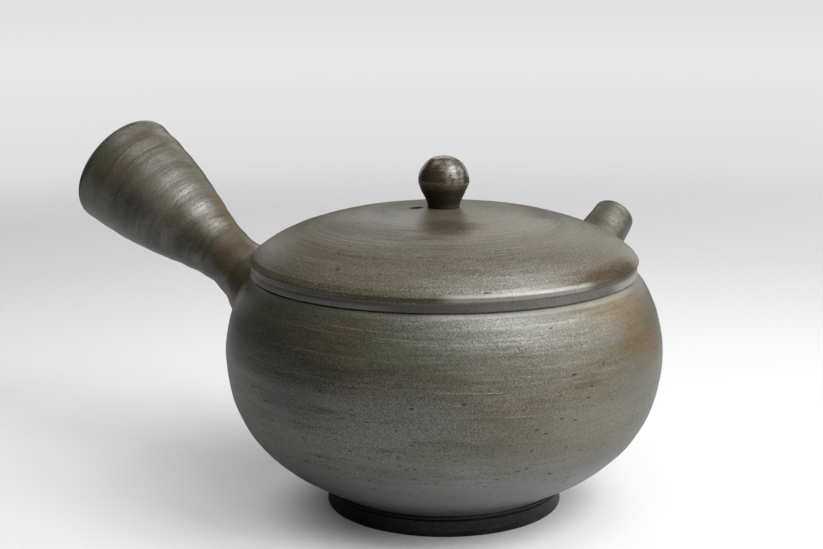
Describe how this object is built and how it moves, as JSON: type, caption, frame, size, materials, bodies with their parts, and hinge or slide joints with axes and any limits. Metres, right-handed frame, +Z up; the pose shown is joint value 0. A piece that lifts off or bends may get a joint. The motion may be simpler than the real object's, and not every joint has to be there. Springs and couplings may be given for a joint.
{
  "type": "side-handled teapot",
  "caption": "Stoneware teapot with a squat round body on a foot ring, a hollow side handle, a pouring spout with a ball strainer, and a loose domed lid with a knob.",
  "frame": {"origin": "middle of the bounding box in X and Y, at the height of the surface that the foot ring stands on", "axes": "+Z up along the pot's axis, the handle points along -X and the spout along +Y"},
  "size_m": [0.1652, 0.1352, 0.0861],
  "materials": {
    "body_clay": "unglazed, burnished, satin",
    "foot_clay": "unglazed, dark, satin",
    "handle_clay": "unglazed, with throwing rings, satin",
    "spout_clay": "unglazed, satin",
    "strainer_clay": "unglazed, matt",
    "lid_clay": "unglazed, burnished, satin",
    "knob_clay": "unglazed, polished brown"
  },
  "bodies": {
    "pot": {"body": "body_clay", "base": "body_clay", "foot_ring": "foot_clay", "handle": "handle_clay", "spout": "spout_clay", "strainer": "strainer_clay"},
    "lid": {"lid": "lid_clay", "knob": "knob_clay"}
  },
  "joints": [
    {"name": "lid_lift", "type": "slide", "parent": "pot", "child": "lid", "axis": [0, 0, 1], "range_m": [0, 0.06]}
  ]
}
